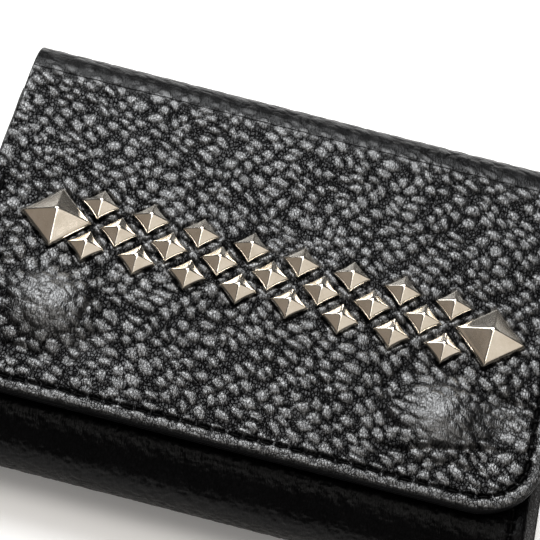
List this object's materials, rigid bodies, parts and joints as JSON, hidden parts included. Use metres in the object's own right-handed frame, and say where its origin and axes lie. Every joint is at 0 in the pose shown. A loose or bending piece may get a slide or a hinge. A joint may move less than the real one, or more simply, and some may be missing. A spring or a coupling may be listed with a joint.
{
  "type": "flap wallet",
  "caption": "Grained leather flap wallet with pyramid studs, snap fasteners under the flap, card and bill pockets, a zipped coin pocket and a D-ring for a chain.",
  "frame": {"origin": "on the table plane that the back panel lies on, under the centre of the stud pattern", "axes": "+X along the top fold to the right, +Y towards the top fold, +Z out of the flap"},
  "size_m": [0.1398, 0.0971, 0.0257],
  "materials": {
    "grain_leather": "black shrink grain, soft satin",
    "pocket_leather": "smooth black, matt",
    "lining_leather": "fine grained dark lining, matt",
    "painted_edge": "burnished and painted edge, satin",
    "thread": "waxed twisted thread",
    "zip_tape": "woven tape, matt",
    "nickel": "warm nickel plate, polished",
    "snap_metal": "nickel plated, satin"
  },
  "bodies": {
    "body": {"cover_leather": "grain_leather", "back_lining": "lining_leather", "bill_divider": "pocket_leather", "card_panel_1": "pocket_leather", "card_panel_2": "pocket_leather", "card_panel_3": "pocket_leather", "coin_pocket_back": "pocket_leather", "coin_pocket_front": "lining_leather", "gusset_left": "painted_edge", "gusset_right": "painted_edge", "snap_stud_left": "snap_metal", "snap_stud_right": "snap_metal", "snap_post_left": "snap_metal", "snap_post_right": "snap_metal", "zip_tape_back": "zip_tape", "zip_tape_front": "zip_tape", "zip_chain": "snap_metal", "zip_stop_left": "snap_metal", "zip_stop_right": "snap_metal", "chain_tab": "grain_leather", "tab_rivet": "nickel"},
    "fold_1": {"fold_strip_1": "grain_leather"},
    "fold_2": {"fold_strip_2": "grain_leather"},
    "fold_3": {"fold_strip_3": "grain_leather"},
    "flap": {"flap_leather": "grain_leather", "flap_lining": "lining_leather", "stud_large_left": "nickel", "stud_large_right": "nickel", "stud_small_01": "nickel", "stud_small_02": "nickel", "stud_small_03": "nickel", "stud_small_04": "nickel", "stud_small_05": "nickel", "stud_small_06": "nickel", "stud_small_07": "nickel", "stud_small_08": "nickel", "stud_small_09": "nickel", "stud_small_10": "nickel", "stud_small_11": "nickel", "stud_small_12": "nickel", "stud_small_13": "nickel", "stud_small_14": "nickel", "stud_small_15": "nickel", "stud_small_16": "nickel", "stud_small_17": "nickel", "stud_small_18": "nickel", "stud_small_19": "nickel", "stud_small_20": "nickel", "stud_small_21": "nickel", "stud_small_22": "nickel", "stud_small_23": "nickel", "snap_cap_left": "snap_metal", "snap_cap_right": "snap_metal", "snap_socket_left": "snap_metal", "snap_socket_right": "snap_metal"},
    "zip_slider": {"zip_slider": "snap_metal"},
    "zip_puller": {"zip_puller": "snap_metal"},
    "d_ring": {"d_ring": "nickel"}
  },
  "joints": [
    {"name": "flap_fold", "type": "hinge", "parent": "body", "child": "fold_1", "pos_m": [0, 0.04176, 0], "axis": [-1, 0, 0], "range_deg": [0, 43.5]},
    {"name": "fold_bend_2", "type": "hinge", "parent": "fold_1", "child": "fold_2", "pos_m": [0, 0.0482, 0.00644], "axis": [-1, 0, 0], "range_deg": [0, 43.5]},
    {"name": "fold_bend_3", "type": "hinge", "parent": "fold_2", "child": "fold_3", "pos_m": [0, 0.0482, 0.01556], "axis": [-1, 0, 0], "range_deg": [0, 43.5]},
    {"name": "fold_bend_4", "type": "hinge", "parent": "fold_3", "child": "flap", "pos_m": [0, 0.04176, 0.022], "axis": [-1, 0, 0], "range_deg": [0, 43.5]},
    {"name": "zip_slide", "type": "slide", "parent": "body", "child": "zip_slider", "axis": [1, 0, 0], "range_m": [0, 0.09]},
    {"name": "puller_swing", "type": "hinge", "parent": "zip_slider", "child": "zip_puller", "pos_m": [-0.046, 0.03542, 0.01365], "axis": [0, 0, 1], "range_deg": [0, 170]},
    {"name": "ring_swing", "type": "hinge", "parent": "body", "child": "d_ring", "pos_m": [0.0652, 0.0295, 0.00425], "axis": [0, -1, 0], "range_deg": [0, 100]}
  ],
  "couplings": [
    {"joint": "fold_bend_2", "follows": "flap_fold", "ratio": 1},
    {"joint": "fold_bend_3", "follows": "flap_fold", "ratio": 1},
    {"joint": "fold_bend_4", "follows": "flap_fold", "ratio": 1}
  ]
}
